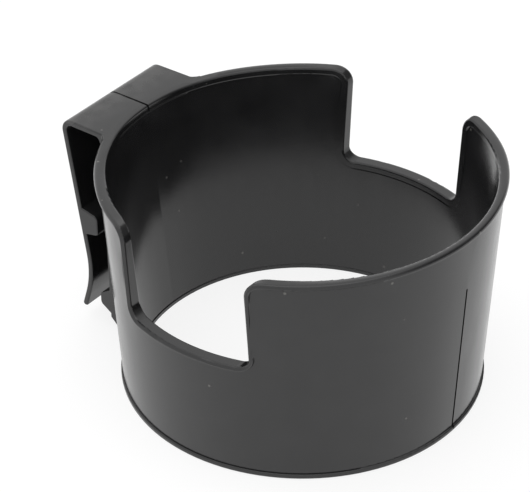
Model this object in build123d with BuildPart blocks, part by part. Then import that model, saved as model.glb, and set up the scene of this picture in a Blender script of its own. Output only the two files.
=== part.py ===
from build123d import *
from math import asin, degrees, sqrt
import os

# Clip-on cup holder ring, moulded in one piece.
# Millimetres, +Z up. The origin is on the ring's axis in the base plane, and the hook clip is towards +Y.

# Ring
RIM_DIA = 90.0  # across the border at the rim
BASE_DIA = 82.8  # across the border at the base
HEIGHT = 53.1
WALL = 1.5  # at the rim
WALL_FOOT = 2.65  # at the base: the inside has more draft than the outside
BORDER_OUT = 0.85  # border proud of the wall outside
BORDER_IN = 0.35  # border proud of the wall inside
BORDER_WIDTH = 1.8  # upper border measured along the wall
BASE_TALL = 1.2  # border round the base
BEAD_ROUND = 0.7  # outer edge of the upper border
EDGE_ROUND = 0.4  # edges of the clip and the base, and where the upper border meets the wall
INNER_ROUND = 0.5  # inner edge of the upper border
LIP_IN = 0.15  # lip inside the base, proud of the wall
LIP_TALL = 0.9
LIP_ROUND = 0.2

# Notches, one on each side
NOTCH_WIDTH = 31.5
NOTCH_FLOOR = 29.8  # floor above the base plane
NOTCH_MOUTH_ROUND = 4.0
NOTCH_FLOOR_ROUND = 2.8

# Hook clip
CLIP_WIDTH = 31.3
CLIP_SLOT = 9.65  # from the ring's outermost line to the leg, at the top
CLIP_THICK = 1.4
BEND_ROUND = 2.9  # outside of the bend from plate to leg
LEG_LEAN = 6.35  # how far the leg leans in towards the ring, down to its knee
KNEE_HEIGHT = 12.7
KNEE_ROUND = 24.0
TIP_HEIGHT = 3.2
TIP_FLARE = 2.9  # how far the tip flares out again from the knee
TIP_ROUND = 0.6
ROOT_ROUND = 1.8  # between the plate's underside and the back pad
PLATE_BLEND = 2.2  # between the plate's sides and the rim
BLEND_BITE = 0.05  # how deep each blend runs into the plate and the rim

# Grip rib on the leg, and the back pad with its grip ridge on the ring
RIB_HEIGHT = 26.95  # middle of the rib above the base plane
RIB_TALL = 7.0  # at its root
RIB_TIP = 5.0  # at its nose
RIB_PROUD = 4.0
RIDGE_HEIGHT = 7.2  # middle of the ridge above the base plane
RIDGE_TALL = 7.4
RIDGE_TIP = 2.8
RIDGE_PROUD = 2.9
NOSE_ROUND = 1.3
PAD_SET_IN = 1.0  # pad face behind the ring's outermost line
PAD_FOOT = 0.5  # underside of the pad above the base plane
PAD_BEVEL = 2.4

# Bevel inside the rim, behind the hook
BEVEL_WIDTH = 30.0
BEVEL_SET_IN = 1.3  # its upper edge behind the rim's outer edge
BEVEL_TALL = 2.2
BEVEL_RUN_OUT = 3.0  # rounding of its two ends

# Mould parting line: a fine groove on the hook's outside and up the front of the wall
PARTING_WIDTH = 0.55
PARTING_DEPTH = 0.25
PARTING_TOP = 39.0  # upper end of the groove in the front of the wall

# Worked out from the sizes above
RIM_R = RIM_DIA / 2
BASE_R = BASE_DIA / 2
WIDEST_R = max(RIM_R, BASE_R)
WALL_TOP_R = RIM_R - BORDER_OUT
WALL_BASE_R = BASE_R - BORDER_OUT
WALL_FLARE = (WALL_TOP_R - WALL_BASE_R) / HEIGHT
NARROWEST_R = min(WALL_TOP_R, WALL_BASE_R)
INSIDE_TOP_R = WALL_TOP_R - WALL
INSIDE_BASE_R = WALL_BASE_R - WALL_FOOT
INSIDE_FLARE = (INSIDE_TOP_R - INSIDE_BASE_R) / HEIGHT
BORE_R = INSIDE_BASE_R - LIP_IN
CLIP_HALF = CLIP_WIDTH / 2
PLATE_UNDER = HEIGHT - CLIP_THICK
PLATE_MID = HEIGHT - CLIP_THICK / 2
LEG_TOP_Y = WIDEST_R + CLIP_SLOT + CLIP_THICK
KNEE_Y = LEG_TOP_Y - LEG_LEAN
LEG_SLOPE = LEG_LEAN / (HEIGHT - KNEE_HEIGHT)
LEG_MID_Y = LEG_TOP_Y - LEG_SLOPE * (HEIGHT - RIB_HEIGHT) - CLIP_THICK / 2  # beside the rib
PAD_Y = WIDEST_R - PAD_SET_IN
PAD_MID_Y = PAD_Y - CLIP_THICK / 2  # root of the ridge, within the pad
ROOT_Y = sqrt((NARROWEST_R - WALL) ** 2 - CLIP_HALF**2)  # within the wall over the clip's width
BLEND_X = CLIP_HALF + PLATE_BLEND - BLEND_BITE
BLEND_REACH = RIM_R + PLATE_BLEND - BLEND_BITE
BLEND_Y = sqrt(BLEND_REACH**2 - BLEND_X**2)
BLEND_SHARE = (RIM_R - WALL) / BLEND_REACH  # a point inside the rim, on the line to the blend's axis
SPOOL_R = PLATE_BLEND + EDGE_ROUND  # the spool that hollows a blend, at its flared ends
BEVEL_R = RIM_R - BEVEL_SET_IN
BEVEL_FOOT = HEIGHT - BEVEL_TALL
BEVEL_FOOT_R = INSIDE_TOP_R - INSIDE_FLARE * BEVEL_TALL
BEVEL_TURN = degrees(asin(BEVEL_WIDTH / 2 / RIM_R))  # from the middle to either end
BEVEL_BACK_R = BEVEL_R - 3 * BEVEL_RUN_OUT  # in the open space inside the ring
PARTING_TOP_R = WALL_BASE_R + WALL_FLARE * PARTING_TOP
BEYOND = 2 * RIM_DIA  # past the part on every side


def wall_section(proud_out, proud_in):
    """Section of the wall from base to top, grown outwards and inwards by two amounts."""
    with BuildSketch(Plane.YZ) as section:
        with BuildLine():
            Polyline(
                (WALL_BASE_R + proud_out, 0),
                (WALL_TOP_R + proud_out, HEIGHT),
                (INSIDE_TOP_R - proud_in, HEIGHT),
                (INSIDE_BASE_R - proud_in, 0),
                close=True,
            )
        make_face()
    return section.sketch


def side_view(inset):
    """Side view of the ring along X, with its notch, drawn in by inset from the upper edge."""
    half = NOTCH_WIDTH / 2 + inset
    top = HEIGHT - inset
    floor = NOTCH_FLOOR - inset
    with BuildSketch(Plane.YZ) as view:
        with BuildLine():
            Polyline(
                (-BEYOND, -BEYOND),
                (-BEYOND, top),
                (-half, top),
                (-half, floor),
                (half, floor),
                (half, top),
                (BEYOND, top),
                (BEYOND, -BEYOND),
                close=True,
            )
        make_face()
        corners = view.vertices().filter_by_position(Axis.X, -RIM_R, RIM_R)
        fillet(corners.group_by(Axis.Y)[-1], NOTCH_MOUTH_ROUND - inset)
        corners = view.vertices().filter_by_position(Axis.X, -RIM_R, RIM_R)
        fillet(corners.group_by(Axis.Y)[0], NOTCH_FLOOR_ROUND + inset)
    return view.sketch


def hook_band(thick):
    """Section of the hook, plate and leg, from its outside inwards to the given thickness."""
    with BuildSketch() as band:
        with BuildLine():
            FilletPolyline(
                (ROOT_Y, HEIGHT),
                (LEG_TOP_Y, HEIGHT),
                (KNEE_Y, KNEE_HEIGHT),
                (KNEE_Y + TIP_FLARE, TIP_HEIGHT),
                radius=[BEND_ROUND, KNEE_ROUND],
            )
            offset(amount=thick, side=Side.RIGHT)
        make_face()
    return band.sketch


def grip_nose(root, height, reach, tall, tip):
    """Section of a grip rib that tapers from its root, across the slot, to a rounded nose."""
    with BuildSketch() as nose:
        with BuildLine():
            Polyline(
                (root, height - tall / 2),
                (root + reach, height - tip / 2),
                (root + reach, height + tip / 2),
                (root, height + tall / 2),
                close=True,
            )
        make_face()
        front = nose.vertices().group_by(Axis.X)[0 if reach < 0 else -1]
        fillet(front, NOSE_ROUND)
    return nose.sketch


os.makedirs("parts", exist_ok=True)

# Plain tapered wall with both notches, its upper edge buried in the border
with BuildPart() as wall:
    revolve(wall_section(0, 0), axis=Axis.Z)
    extrude(side_view(BORDER_WIDTH / 2), amount=BEYOND, both=True, mode=Mode.INTERSECT)

# Border along the rim and down and across both notches
with BuildPart() as upper_border:
    revolve(wall_section(BORDER_OUT, BORDER_IN), axis=Axis.Z)
    extrude(side_view(0), amount=BEYOND, both=True, mode=Mode.INTERSECT)
    inside, outside = upper_border.faces().filter_by(GeomType.CONE).sort_by(SortBy.AREA)
    fillet(outside.edges().filter_by(GeomType.LINE, reverse=True).sort_by(Axis.Z)[1:], BEAD_ROUND)
    inside = upper_border.faces().filter_by(GeomType.CONE).sort_by(SortBy.AREA)[0]
    fillet(inside.edges().filter_by(GeomType.LINE, reverse=True).sort_by(Axis.Z)[1:], INNER_ROUND)
    extrude(side_view(BORDER_WIDTH), amount=BEYOND, both=True, mode=Mode.SUBTRACT)
    lower_edges = upper_border.edges(Select.NEW).filter_by(GeomType.LINE, reverse=True)
    fillet(lower_edges, EDGE_ROUND)

# Border round the base, with a lip inside it
with BuildPart() as base_border:
    with BuildSketch(Plane.XZ) as base_section:
        with BuildLine():
            Polyline(
                (BORE_R, 0),
                (BASE_R, 0),
                (BASE_R, BASE_TALL),
                (WALL_BASE_R - WALL_FOOT / 2, BASE_TALL),
                (WALL_BASE_R - WALL_FOOT / 2, LIP_TALL),
                (BORE_R, LIP_TALL),
                close=True,
            )
        make_face()
        fillet(base_section.vertices().group_by(Axis.X)[-1], EDGE_ROUND)
        fillet(base_section.vertices().group_by(Axis.X)[0].sort_by(Axis.Y)[-1], LIP_ROUND)
    revolve(axis=Axis.Z)

# Hook clip: top plate and leg with its rib, and the back pad with its ridge, all of one section
with BuildPart() as clip:
    with BuildSketch(Plane.YZ) as clip_section:
        add(hook_band(CLIP_THICK))
        fillet(clip_section.vertices().sort_by(Axis.Y)[:2], TIP_ROUND)
        add(grip_nose(LEG_MID_Y, RIB_HEIGHT, -RIB_PROUD - CLIP_THICK / 2, RIB_TALL, RIB_TIP))
        with BuildLine():
            Polyline(
                (ROOT_Y, PAD_FOOT),
                (PAD_Y - PAD_BEVEL, PAD_FOOT),
                (PAD_Y, PAD_FOOT + PAD_BEVEL),
                (PAD_Y, PLATE_MID),
                (ROOT_Y, PLATE_MID),
                close=True,
            )
        make_face()
        add(grip_nose(PAD_MID_Y, RIDGE_HEIGHT, RIDGE_PROUD + CLIP_THICK / 2, RIDGE_TALL, RIDGE_TIP))
        pad_corners = clip_section.vertices().filter_by_position(Axis.X, ROOT_Y, WIDEST_R)
        fillet(pad_corners.filter_by_position(Axis.Y, RIB_HEIGHT, PLATE_MID), ROOT_ROUND)
    extrude(amount=CLIP_HALF, both=True)
    fillet(clip.faces().filter_by(Axis.X).edges(), EDGE_ROUND)
    revolve(wall_section(-WALL / 2, NARROWEST_R - WALL_FOOT), axis=Axis.Z, mode=Mode.SUBTRACT)

# Blends between the plate's sides and the rim, each hollowed by a spool that leaves its edges round
with BuildPart() as blends:
    with BuildSketch(Plane.XY.offset(PLATE_UNDER)):
        with BuildLine():
            Polyline(
                (BLEND_X, BLEND_Y),
                (BLEND_X * BLEND_SHARE, BLEND_Y * BLEND_SHARE),
                (CLIP_HALF - WALL, BLEND_Y * BLEND_SHARE),
                (CLIP_HALF - WALL, BLEND_Y),
                close=True,
            )
        make_face()
    extrude(amount=CLIP_THICK)
    with BuildSketch(Plane.XZ.offset(-BLEND_Y)):
        with Locations((BLEND_X + SPOOL_R / 2, PLATE_MID)):
            Rectangle(SPOOL_R, CLIP_THICK)
        with Locations((BLEND_X + SPOOL_R + EDGE_ROUND, PLATE_MID)):
            RectangleRounded(4 * EDGE_ROUND, CLIP_THICK, EDGE_ROUND, mode=Mode.SUBTRACT)
    revolve(axis=Axis((BLEND_X, BLEND_Y, 0), (0, 0, 1)), mode=Mode.SUBTRACT)
    mirror(about=Plane.YZ)

# Bevel that opens the rim's inner edge behind the hook
with BuildPart() as bevel:
    with BuildSketch(Plane.YZ):
        with BuildLine():
            Polyline(
                (BEVEL_R, HEIGHT),
                (BEVEL_FOOT_R, BEVEL_FOOT),
                (BEVEL_BACK_R, BEVEL_FOOT),
                (BEVEL_BACK_R, HEIGHT),
                close=True,
            )
        make_face()
    revolve(axis=Axis.Z, revolution_arc=BEVEL_TURN)
    end_face = bevel.faces().sort_by(Axis.X)[0]
    fillet(end_face.edges().sort_by(SortBy.DISTANCE)[-1], BEVEL_RUN_OUT)
    mirror(about=Plane.YZ)

# Parting line, from the rim's inner edge over the hook to its tip, and up the front of the wall
with BuildPart() as parting_line:
    with BuildSketch(Plane.YZ):
        add(hook_band(PARTING_DEPTH))
        with BuildLine():
            Polyline(
                (PARTING_DEPTH - WALL_BASE_R, 0),
                (PARTING_DEPTH - PARTING_TOP_R, PARTING_TOP),
                (-WIDEST_R, PARTING_TOP),
                (-WIDEST_R, 0),
                close=True,
            )
        make_face()
    extrude(amount=PARTING_WIDTH / 2, both=True)

with BuildPart() as cup_holder:
    add(wall.part)
    add(upper_border.part)
    add(base_border.part)
    add(clip.part)
    add(blends.part)
    add(bevel.part, mode=Mode.SUBTRACT)
    add(parting_line.part, mode=Mode.SUBTRACT)

cup_holder.part.label = "cup_holder"
export_step(cup_holder.part, "parts/cup_holder.step")
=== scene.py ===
"""Clip-on cup holder ring: finished rim, plastic, light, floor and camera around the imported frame."""
from math import atan2, copysign, cos, hypot, pi, radians, sin, sqrt

import bmesh
import bpy
from mathutils import Matrix, Vector


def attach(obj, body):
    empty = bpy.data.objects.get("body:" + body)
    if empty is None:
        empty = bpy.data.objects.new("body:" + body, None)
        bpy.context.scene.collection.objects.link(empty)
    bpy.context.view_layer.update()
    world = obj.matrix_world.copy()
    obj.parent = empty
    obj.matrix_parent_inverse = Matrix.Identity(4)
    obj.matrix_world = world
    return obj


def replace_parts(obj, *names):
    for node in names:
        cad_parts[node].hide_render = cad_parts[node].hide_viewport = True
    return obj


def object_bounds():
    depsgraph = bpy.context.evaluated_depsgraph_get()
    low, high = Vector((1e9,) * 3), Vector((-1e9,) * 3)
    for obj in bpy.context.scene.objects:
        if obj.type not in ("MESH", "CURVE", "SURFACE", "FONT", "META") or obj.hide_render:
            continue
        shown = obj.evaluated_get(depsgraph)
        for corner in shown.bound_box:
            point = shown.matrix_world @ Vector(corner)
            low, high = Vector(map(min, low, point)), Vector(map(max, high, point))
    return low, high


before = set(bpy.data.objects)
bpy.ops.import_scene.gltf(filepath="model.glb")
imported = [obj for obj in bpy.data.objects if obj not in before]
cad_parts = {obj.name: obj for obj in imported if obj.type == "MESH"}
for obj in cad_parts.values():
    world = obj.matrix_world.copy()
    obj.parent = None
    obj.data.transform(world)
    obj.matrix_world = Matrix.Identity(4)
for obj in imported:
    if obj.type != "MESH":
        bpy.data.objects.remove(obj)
cad_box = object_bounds()

# Camera at the photograph's viewing angle; lengths in metres
CAMERA_AZIMUTH = radians(-52.29)
CAMERA_ELEVATION = radians(34.56)
CAMERA_ROLL = radians(-0.685)
CAMERA_DISTANCE = 0.54893
CAMERA_ASIDE = -0.008554
CAMERA_ABOVE = 0.026619
CLIP_NEAR = 0.05
FOCAL_LENGTH = 163.0  # this one in millimetres, on a sensor 36 wide

# Ring as it is packed, in millimetres
MILLIMETRE = 0.001  # in metres
HEIGHT = 53.1
RIM_R = 45.0
RIM_NEAR = 0.4  # a point further outside the rim than this is on the hook
WALL_BASE_R = 40.55  # outside of the wall at the base
WALL_FLARE = 0.0678  # outside of the wall, per millimetre of height
RIM_INSIDE_R = 42.3  # inside of the border at the rim
INSIDE_FLARE = 0.0895
WALL_STEP = 0.15  # a point this near to the wall's surface is on it
BORDER_OUT = 0.85  # border proud of the wall outside
BORDER_IN = 0.35  # and inside
BORDER_LOW = 2.2  # nothing of the border is further from the upper edge than this
NOTCH_HALF = 15.75
NOTCH_FLOOR = 29.8
MOUTH_ROUND = 4.0
FLOOR_ROUND = 2.8

# Outer border, made less tall; distances are from the ring's upper edge
BORDER_KEPT = 0.72  # the outer rounding, which stays as it is
INNER_KEPT = 0.52  # the inner rounding
BORDER_MOVED = 1.35  # the lower edge, which moves up
BORDER_RAISE = 0.65
BORDER_BELOW = 4.05  # what is further away stays
OUTER_DEPTH = 0.72  # a point no deeper in the wall than this belongs to its outside
BORDER_FADE = 4.0  # along the notches, the border dies out over this height
HOOK_CLEAR = radians(24)  # the border near the hook's blends is left as it is
HOOK_RAMP = radians(6)

# Rim, made narrower in front; angles are from the middle of the front
FRONT_OUT = 0.45  # outside
FRONT_IN = 0.3  # and inside
FRONT_FULL = radians(12)
FRONT_END = radians(50)

# Crown of the rim's top, which is in the normals alone
CROWN_INSIDE = radians(20)  # slope at its inner edge
CROWN_OUTSIDE = radians(10)
CROWN_INSIDE_R = 42.8
CROWN_OUTSIDE_R = 44.3
CROWN_FADE = 12.0  # towards the notches

# Outside of the wall, between its borders
WALL_NEAR = 0.35  # a point no deeper than this is on it: the parting line's depth, with some to spare
WALL_SLACK = 0.01  # and one no further out than this
WALL_OUT_FOOT = 0.35  # the wall stands further out at the base
WALL_OUT_TOP = -0.1
FOOT_KEPT = 0.72  # what is lower than this is the base border, which stays as it is

# Rim drawn out behind the hook; angles are from the middle of the hook
BULGE = 0.9
BULGE_FULL = radians(10)
BULGE_END = radians(50)
BULGE_REACH = 2.5  # gone this far beyond the rim

# Inner border behind the hook
BAND_START = radians(0.37)  # half the parting line
BAND_END = radians(20.5)
BAND_COLUMNS = 40
BAND_BACK = 1.7  # from the band's inner face to its back, within the rim
BAND_SINK = 0.01  # its top below the plate's, so that the two don't share a plane
BAND_TALL = 1.8
BAND_UPPER_ROUND = 0.5
BAND_LOWER_ROUND = 0.4
BAND_CREASE = radians(35)  # faces that meet at more than this have a sharp edge
ARC_STEPS = 6

# Studio
FLOOR_HALF = 2.0
FLOOR_DROP = 0.00005  # floor below the base plane, so that the two don't share a plane
FLOOR_COLOUR = (0.85, 0.85, 0.85, 1.0)  # as it throws light back
FLOOR_SHADE = (0.25, 0.25, 0.25, 1.0)  # as it is seen: this shows the shadow, and the glow makes it white
FLOOR_GLOW = 0.8
ROOM_COLOUR = (1.0, 1.0, 1.0, 1.0)
ROOM_LEVEL = 1.0
OVERHEAD_LEVEL = 1.75  # lamp panel above the object
OVERHEAD_TURN = 0.0  # turns are from +Y towards +X
OVERHEAD_ELEVATION = radians(90)
OVERHEAD_INNER = radians(12)  # from its middle: full within this
OVERHEAD_OUTER = radians(30)  # and gone beyond this
DARK_LEVEL = 0.2  # unlit corner of the room, to the front right
DARK_TURN = radians(140)
DARK_ELEVATION = radians(12)
DARK_INNER = radians(18)
DARK_OUTER = radians(55)

# Sockets of a Mix node for colours
MIX_FACTOR = 0
MIX_FIRST = 6
MIX_SECOND = 7
MIX_RESULT = 2

# Satin black plastic; a range is the part of a noise that is spread from 0 to 1
BLACK = (0.0105, 0.0105, 0.011, 1.0)
BLACK_WORN = (0.015, 0.015, 0.0155, 1.0)
# painted sheen: a lighter grey on the outer top of the hook plate, standing in for light reflected there
SHEEN_GREY = (0.07, 0.069, 0.068, 1.0)
DUST = (0.11, 0.107, 0.1, 1.0)
ROUGH_LOW = 0.15
ROUGH_HIGH = 0.22
ROUGH_SHEEN = 0.42
PLASTIC_IOR = 1.55
MOTTLE_SCALE = 140.0
MOTTLE_DETAIL = 4.0
MOTTLE_RANGE = (0.3, 0.7)
STREAK_STRETCH = (420.0, 420.0, 14.0)  # long along the ring's axis, as the mould draws
STREAK_SCALE = 1.0
STREAK_DETAIL = 2.0
STREAK_RANGE = (0.35, 0.65)
STREAK_SHARE = 0.35
# Patch of painted sheen on the hook plate's top: lighter colour and higher roughness
SHEEN_SCALE = 260.0
SHEEN_DETAIL = 5.0
SHEEN_RANGE = (0.3, 0.65)
SHEEN_OUTWARDS = (0.0455, 0.0535)  # hook plate, in metres: from nothing to full along +Y
SHEEN_UPWARDS = (0.052, 0.053)  # and along +Z
DUST_SCALE = 170.0
DUST_FREE = 0.35  # share of the cells that stay clean
DUST_EDGE = (0.035, 0.07)  # of a cell: where a speck starts to fade, and where it ends
WAVE_SCALE = 45.0
WAVE_DETAIL = 1.0
WAVE_HEIGHT = 0.00003
GRAIN_SCALE = 3000.0
GRAIN_DETAIL = 2.0
GRAIN_HEIGHT = 0.00001
BUMP_STRENGTH = 1.0


def clamped(share):
    """Share held between 0 and 1."""
    return min(max(share, 0.0), 1.0)


def smooth(share):
    """Smooth step from 0 to 1."""
    share = clamped(share)
    return share * share * (3 - 2 * share)


def turn_from_hook(point):
    """Angle round the axis between a point and the middle of the hook."""
    return abs(atan2(point.x, point.y))


def clear_of_hook(point):
    """0 beside the hook's blends, 1 further round the ring."""
    return smooth((turn_from_hook(point) - HOOK_CLEAR) / HOOK_RAMP)


def wall_radii(height):
    """Radius of the wall at a height, outside and inside."""
    return WALL_BASE_R + WALL_FLARE * height, RIM_INSIDE_R + BORDER_IN - INSIDE_FLARE * (HEIGHT - height)


def in_outer_half(point):
    """Whether a point is nearer to the outside of the wall than to its inside."""
    return 2 * hypot(point.x, point.y) > sum(wall_radii(point.z))


def notch_fades(height):
    """How far the border has died out at a height, outside and inside."""
    down = smooth((HEIGHT - MOUTH_ROUND - height) / BORDER_FADE)
    return down * smooth((height - NOTCH_FLOOR - FLOOR_ROUND) / BORDER_FADE), down


def edge_inset(across, height):
    """Distance of a point of the side view from the ring's upper edge, and the direction towards it."""
    if height > HEIGHT - MOUTH_ROUND:
        if across >= NOTCH_HALF + MOUTH_ROUND:
            return HEIGHT - height, Vector((0, 1))
        arm = Vector((across - NOTCH_HALF - MOUTH_ROUND, height - HEIGHT + MOUTH_ROUND))
        return MOUTH_ROUND - arm.length, arm.normalized()
    if height >= NOTCH_FLOOR + FLOOR_ROUND:
        return across - NOTCH_HALF, Vector((-1, 0))
    if across > NOTCH_HALF - FLOOR_ROUND:
        arm = Vector((NOTCH_HALF - FLOOR_ROUND - across, NOTCH_FLOOR + FLOOR_ROUND - height))
        return arm.length - FLOOR_ROUND, arm.normalized()
    return NOTCH_FLOOR - height, Vector((0, 1))


def at_reach(x, y, z, reach):
    """Point this far from the axis, with its y and z as given and its x on the side of the x given."""
    return Vector((copysign(sqrt(max(reach * reach - y * y, 0.0)), x), y, z))


def pushed(point, added):
    """Point moved straight away from the axis."""
    grown = 1 + added / hypot(point.x, point.y)
    return Vector((point.x * grown, point.y * grown, point.z))


def straightened(point):
    """Moves the outside of the wall out at the base and in at the rim, between its borders."""
    reach = hypot(point.x, point.y)
    outside, _ = wall_radii(point.z)
    if not outside - WALL_NEAR < reach < outside + WALL_SLACK or point.z < FOOT_KEPT:
        return point
    return pushed(point, WALL_OUT_FOOT + (WALL_OUT_TOP - WALL_OUT_FOOT) * point.z / HEIGHT)


def slimmed(point):
    """Moves the lower edge of the outer border up towards the ring's upper edge."""
    reach = hypot(point.x, point.y)
    inset, towards = edge_inset(abs(point.y), point.z)
    outside, _ = wall_radii(point.z)
    if reach < outside - OUTER_DEPTH or reach > RIM_R + RIM_NEAR or not 0 < inset < BORDER_BELOW:
        return point
    share = clamped((inset - BORDER_KEPT) / (BORDER_MOVED - BORDER_KEPT)) * clear_of_hook(point)
    move = towards * BORDER_RAISE * share
    y = point.y + move.x * copysign(1, point.y)
    return at_reach(point.x, y, point.z + move.y, reach + WALL_FLARE * move.y)


def merged(point):
    """Brings the wall level with the border along the notches, so that the border dies out there."""
    reach = hypot(point.x, point.y)
    inset, _ = edge_inset(abs(point.y), point.z)
    outside, inside = wall_radii(point.z)
    fade_out, fade_in = notch_fades(point.z)
    if not BORDER_KEPT < inset < BORDER_LOW:
        return point
    if abs(reach - outside) < WALL_STEP:
        reach += BORDER_OUT * fade_out
    elif abs(reach - inside) < WALL_STEP:
        reach -= BORDER_IN * fade_in
    return at_reach(point.x, point.y, point.z, reach)


def narrowed(point):
    """Narrows the rim in front."""
    reach = hypot(point.x, point.y)
    inset = HEIGHT - point.z
    outside, inside = wall_radii(point.z)
    front = smooth((FRONT_END - pi + turn_from_hook(point)) / (FRONT_END - FRONT_FULL))
    if inset > BORDER_LOW:
        return point
    if reach > outside + WALL_STEP or inset < BORDER_KEPT and in_outer_half(point):
        return pushed(point, -FRONT_OUT * front)
    if reach < inside - WALL_STEP or inset < INNER_KEPT:
        return pushed(point, FRONT_IN * front)
    return point


def drawn_out(point):
    """Moves a point of the ring outwards near the hook, most at the rim."""
    reach = hypot(point.x, point.y)
    near = smooth((BULGE_END - turn_from_hook(point)) / (BULGE_END - BULGE_FULL))
    on_ring = clamped((RIM_R + BULGE_REACH - reach) / BULGE_REACH)
    return pushed(point, BULGE * near * on_ring * point.z / HEIGHT)


def crowned(point, normal, radial):
    """Normal on the rim's top, leant as its crown slopes."""
    share = clamped((hypot(point.x, point.y) - CROWN_INSIDE_R) / (CROWN_OUTSIDE_R - CROWN_INSIDE_R))
    slope = CROWN_INSIDE - (CROWN_INSIDE + CROWN_OUTSIDE) * share
    slope *= clear_of_hook(point)
    slope *= smooth((abs(point.y) - NOTCH_HALF - MOUTH_ROUND) / CROWN_FADE)
    lean = atan2(-normal.dot(radial), normal.z)
    lean += slope * (1 - abs(lean) / (pi / 2))
    return Vector((0, 0, cos(lean))) - radial * sin(lean)


def shaded(point, normal):
    """Normal that follows the crown of the rim, and the wall where the border has died out."""
    reach = hypot(point.x, point.y)
    inset, _ = edge_inset(abs(point.y), point.z)
    if inset > BORDER_LOW or reach > RIM_R + RIM_NEAR:
        return normal
    radial = Vector((point.x / reach, point.y / reach, 0))
    outer = in_outer_half(point)
    fade_out, fade_in = notch_fades(point.z)
    if outer and inset > BORDER_KEPT and fade_out > 0:
        wall_normal = (radial - Vector((0, 0, WALL_FLARE))).normalized()
        return normal.lerp(wall_normal, fade_out).normalized()
    if not outer and inset > INNER_KEPT and fade_in > 0:
        wall_normal = (Vector((0, 0, INSIDE_FLARE)) - radial).normalized()
        return normal.lerp(wall_normal, fade_in).normalized()
    if point.z < HEIGHT - BORDER_KEPT or normal.z < 0:
        return normal
    return crowned(point, normal, radial)


def add_piece(name, mesh, material):
    """New object that rides on the part's one body, with the part's one material slot."""
    piece = bpy.data.objects.new(name, mesh)
    bpy.context.scene.collection.objects.link(piece)
    piece.data.materials.clear()
    piece.data.materials.append(material)
    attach(piece, "root")
    return piece


def add_ring(ring, material):
    """The ring with its finished rim, which stands for the frame's plain one.

    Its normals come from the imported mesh, so they are read before the points move.
    """
    mesh = ring.data.copy()
    points = [ring.matrix_world @ vertex.co / MILLIMETRE for vertex in mesh.vertices]
    normals = [
        shaded(points[corner.vertex_index], normal.vector.copy())
        for corner, normal in zip(mesh.loops, mesh.corner_normals)
    ]
    for vertex, point in zip(mesh.vertices, points):
        vertex.co = drawn_out(narrowed(merged(slimmed(straightened(point))))) * MILLIMETRE
    mesh.normals_split_custom_set(normals)
    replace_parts(add_piece("ring_shell", mesh, material), "cup_holder")


def band_section():
    """Section of the rim's inner border: radius and height, from its back over the top and down inside."""
    top = HEIGHT - BAND_SINK
    low = HEIGHT - BAND_TALL
    low_inside = RIM_INSIDE_R - INSIDE_FLARE * (BAND_TALL - BAND_LOWER_ROUND)
    turns = [pi / 2 * step / ARC_STEPS for step in range(ARC_STEPS + 1)]
    section = [(RIM_INSIDE_R + BAND_BACK, top)]
    for turn in turns:
        radius = RIM_INSIDE_R + BAND_UPPER_ROUND * (1 - sin(turn))
        section.append((radius, top - BAND_UPPER_ROUND * (1 - cos(turn))))
    for turn in turns:
        radius = low_inside + BAND_LOWER_ROUND * (1 - cos(turn))
        section.append((radius, low + BAND_LOWER_ROUND * (1 - sin(turn))))
    section.append((RIM_INSIDE_R + BAND_BACK, low))
    return section


def add_band(name, side, material):
    """One half of the inner border behind the hook, beside the parting line."""
    section = band_section()
    sheet = bmesh.new()
    columns = []
    for column in range(BAND_COLUMNS + 1):
        turn = side * (BAND_START + (BAND_END - BAND_START) * column / BAND_COLUMNS)
        points = [Vector((radius * sin(turn), radius * cos(turn), height)) for radius, height in section]
        columns.append([sheet.verts.new(drawn_out(point) * MILLIMETRE) for point in points])
    for left, right in zip(columns, columns[1:]):
        for row in range(len(section)):
            after = (row + 1) % len(section)
            sheet.faces.new((left[row], left[after], right[after], right[row]))
    sheet.faces.new(columns[0])
    sheet.faces.new(columns[-1])
    bmesh.ops.recalc_face_normals(sheet, faces=sheet.faces)
    for face in sheet.faces:
        face.smooth = True
    mesh = bpy.data.meshes.new(name)
    sheet.to_mesh(mesh)
    sheet.free()
    mesh.set_sharp_from_angle(angle=BAND_CREASE)
    add_piece(name, mesh, material)


def view_axes(azimuth, elevation):
    """Sideways, upward and backward unit vectors of a level camera that looks at the origin."""
    back = Vector((sin(azimuth) * cos(elevation), -cos(azimuth) * cos(elevation), sin(elevation)))
    side = Vector((cos(azimuth), sin(azimuth), 0.0))
    return side, back.cross(side), back


def add_camera():
    """Camera where the photograph was taken from."""
    side, up, back = view_axes(CAMERA_AZIMUTH, CAMERA_ELEVATION)
    right = side * cos(CAMERA_ROLL) + up * sin(CAMERA_ROLL)
    top = up * cos(CAMERA_ROLL) - side * sin(CAMERA_ROLL)
    data = bpy.data.cameras.new("camera")
    data.lens = FOCAL_LENGTH
    data.clip_start = CLIP_NEAR
    camera = bpy.data.objects.new("camera", data)
    matrix = Matrix((right, top, back)).transposed().to_4x4()
    matrix.translation = back * CAMERA_DISTANCE + right * CAMERA_ASIDE + top * CAMERA_ABOVE
    camera.matrix_world = matrix
    bpy.context.scene.collection.objects.link(camera)
    bpy.context.scene.camera = camera


def new_tree(owner):
    """Empty node tree of a material or world, and its output node."""
    owner.use_nodes = True
    tree = owner.node_tree
    tree.nodes.clear()
    kind = "ShaderNodeOutputWorld" if isinstance(owner, bpy.types.World) else "ShaderNodeOutputMaterial"
    return tree, tree.nodes.new(kind)


def add_node(tree, kind, inputs=None, **settings):
    """New node with its settings; an input is either a value or the socket that feeds it."""
    node = tree.nodes.new(kind)
    for name, value in settings.items():
        setattr(node, name, value)
    for key, value in (inputs or {}).items():
        if isinstance(value, bpy.types.NodeSocket):
            tree.links.new(value, node.inputs[key])
        else:
            node.inputs[key].default_value = value
    return node


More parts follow.
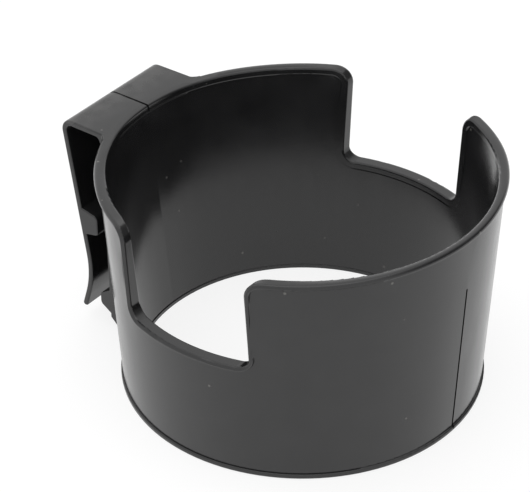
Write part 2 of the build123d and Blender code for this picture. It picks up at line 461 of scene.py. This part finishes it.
def seen_directly(tree):
    """1 for rays from the camera, or by way of a reflection or a clear piece; 0 for light on its way."""
    path = add_node(tree, "ShaderNodeLightPath")
    shiny = add_node(
        tree, "ShaderNodeMath", {0: path.outputs["Is Camera Ray"], 1: path.outputs["Is Glossy Ray"]},
        operation="MAXIMUM",
    )
    clear = add_node(
        tree, "ShaderNodeMath", {0: shiny.outputs[0], 1: path.outputs["Is Transmission Ray"]},
        operation="MAXIMUM",
    )
    return clear.outputs[0]


def patch(tree, direction, turn, elevation, inner, outer):
    """1 in a round patch of the room, 0 outside it."""
    middle = (sin(turn) * cos(elevation), cos(turn) * cos(elevation), sin(elevation))
    nearness = add_node(
        tree, "ShaderNodeVectorMath", {0: direction, 1: middle}, operation="DOT_PRODUCT"
    )
    share = add_node(
        tree, "ShaderNodeMapRange",
        {"Value": nearness.outputs["Value"], "From Min": cos(outer), "From Max": cos(inner)},
        interpolation_type="SMOOTHSTEP",
    )
    return share.outputs["Result"]


def light_room():
    """World: a white room with a lamp panel overhead and one unlit corner."""
    world = bpy.data.worlds.new("room")
    bpy.context.scene.world = world
    tree, output = new_tree(world)
    direction = add_node(tree, "ShaderNodeTexCoord").outputs["Generated"]
    overhead = patch(tree, direction, OVERHEAD_TURN, OVERHEAD_ELEVATION, OVERHEAD_INNER, OVERHEAD_OUTER)
    dark = patch(tree, direction, DARK_TURN, DARK_ELEVATION, DARK_INNER, DARK_OUTER)
    lit = add_node(
        tree, "ShaderNodeMapRange", {"Value": overhead, "To Min": ROOM_LEVEL, "To Max": OVERHEAD_LEVEL}
    )
    level = add_node(tree, "ShaderNodeMix", {"Factor": dark, "A": lit.outputs["Result"], "B": DARK_LEVEL})
    background = add_node(
        tree, "ShaderNodeBackground", {"Color": ROOM_COLOUR, "Strength": level.outputs["Result"]}
    )
    tree.links.new(background.outputs[0], output.inputs["Surface"])


def add_floor():
    """White floor that keeps the object's shadow."""
    mesh = bpy.data.meshes.new("floor")
    sheet = bmesh.new()
    bmesh.ops.create_grid(sheet, x_segments=1, y_segments=1, size=FLOOR_HALF)
    sheet.to_mesh(mesh)
    sheet.free()
    floor = bpy.data.objects.new("floor", mesh)
    floor.location.z = cad_box[0].z - FLOOR_DROP
    bpy.context.scene.collection.objects.link(floor)
    material = bpy.data.materials.new("floor")
    tree, output = new_tree(material)
    paint = add_node(tree, "ShaderNodeBsdfDiffuse", {"Color": FLOOR_COLOUR})
    shade = add_node(tree, "ShaderNodeBsdfDiffuse", {"Color": FLOOR_SHADE})
    glow = add_node(tree, "ShaderNodeEmission", {"Strength": FLOOR_GLOW})
    white = add_node(tree, "ShaderNodeAddShader", {0: shade.outputs[0], 1: glow.outputs[0]})
    surface = add_node(
        tree, "ShaderNodeMixShader", {0: seen_directly(tree), 1: paint.outputs[0], 2: white.outputs[0]}
    )
    tree.links.new(surface.outputs[0], output.inputs["Surface"])
    mesh.materials.append(material)


def noise(tree, place, scale, detail):
    """Cloudy noise around one half."""
    node = add_node(tree, "ShaderNodeTexNoise", {"Vector": place, "Scale": scale, "Detail": detail})
    return node.outputs["Fac"]


def ramp(tree, value, start, end, low=0.0, high=1.0):
    """Value mapped from start..end to low..high, held beyond both."""
    node = add_node(
        tree, "ShaderNodeMapRange",
        {"Value": value, "From Min": start, "From Max": end, "To Min": low, "To Max": high},
    )
    return node.outputs["Result"]


def product(tree, first, second):
    """Two values multiplied."""
    return add_node(tree, "ShaderNodeMath", {0: first, 1: second}, operation="MULTIPLY").outputs[0]


def between(tree, share, first, second):
    """Value between two others; each is a socket or a number."""
    return add_node(tree, "ShaderNodeMix", {"Factor": share, "A": first, "B": second}).outputs["Result"]


def mixed(tree, share, first, second):
    """Colour between two others; each is a socket or a colour."""
    inputs = {MIX_FACTOR: share, MIX_FIRST: first, MIX_SECOND: second}
    return add_node(tree, "ShaderNodeMix", inputs, data_type="RGBA").outputs[MIX_RESULT]


def painted_sheen(tree, place):
    """1 on the outer top of the hook's plate, where a lighter grey paints sheen, 0 elsewhere."""
    axes = add_node(tree, "ShaderNodeSeparateXYZ", {0: place})
    outwards = ramp(tree, axes.outputs["Y"], *SHEEN_OUTWARDS)
    upper = ramp(tree, axes.outputs["Z"], *SHEEN_UPWARDS)
    patchy = ramp(tree, noise(tree, place, SHEEN_SCALE, SHEEN_DETAIL), *SHEEN_RANGE)
    return product(tree, product(tree, outwards, upper), patchy)


def dust(tree, place):
    """1 on a few fine specks, 0 elsewhere."""
    cells = add_node(tree, "ShaderNodeTexVoronoi", {"Vector": place, "Scale": DUST_SCALE})
    near = ramp(tree, cells.outputs["Distance"], *DUST_EDGE, low=1.0, high=0.0)
    channels = add_node(tree, "ShaderNodeSeparateColor", {0: cells.outputs["Color"]})
    chosen = add_node(
        tree, "ShaderNodeMath", {0: channels.outputs[0], 1: DUST_FREE}, operation="GREATER_THAN"
    )
    return product(tree, near, chosen.outputs[0])


def bump(tree, height, distance, **under):
    """Normal of a surface with this relief; Normal, if given, is that of the surface under it."""
    inputs = {"Height": height, "Distance": distance, "Strength": BUMP_STRENGTH, **under}
    return add_node(tree, "ShaderNodeBump", inputs).outputs[0]


def black_plastic():
    """Moulded plastic: mottled, with streaks from the mould, painted sheen on the hook plate, dust and a
    fine grain.
    """
    material = bpy.data.materials.new("satin_black_plastic")
    tree, output = new_tree(material)
    place = add_node(tree, "ShaderNodeTexCoord").outputs["Object"]
    mottle = ramp(tree, noise(tree, place, MOTTLE_SCALE, MOTTLE_DETAIL), *MOTTLE_RANGE)
    drawn = add_node(
        tree, "ShaderNodeVectorMath", {0: place, 1: STREAK_STRETCH}, operation="MULTIPLY"
    ).outputs["Vector"]
    streaks = ramp(tree, noise(tree, drawn, STREAK_SCALE, STREAK_DETAIL), *STREAK_RANGE)
    # painted sheen: lighter and rougher towards the outer top of the hook plate
    sheen_patch = painted_sheen(tree, place)
    specks = dust(tree, place)
    finish = between(tree, STREAK_SHARE, mottle, streaks)
    roughness = between(tree, sheen_patch, ramp(tree, finish, 0.0, 1.0, ROUGH_LOW, ROUGH_HIGH), ROUGH_SHEEN)
    moulded = mixed(tree, mottle, BLACK, BLACK_WORN)
    sheened_colour = mixed(tree, sheen_patch, moulded, SHEEN_GREY)
    colour = mixed(tree, specks, sheened_colour, DUST)
    waves = bump(tree, noise(tree, place, WAVE_SCALE, WAVE_DETAIL), WAVE_HEIGHT)
    surface = bump(tree, noise(tree, place, GRAIN_SCALE, GRAIN_DETAIL), GRAIN_HEIGHT, Normal=waves)
    shader = add_node(
        tree, "ShaderNodeBsdfPrincipled",
        {"Base Color": colour, "Roughness": roughness, "IOR": PLASTIC_IOR, "Normal": surface},
    )
    tree.links.new(shader.outputs[0], output.inputs["Surface"])
    return material


add_camera()
light_room()
add_floor()
plastic = black_plastic()
add_ring(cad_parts["cup_holder"], plastic)
add_band("rim_band_minus", -1, plastic)
add_band("rim_band_plus", 1, plastic)

bpy.context.scene.view_settings.view_transform = "Standard"
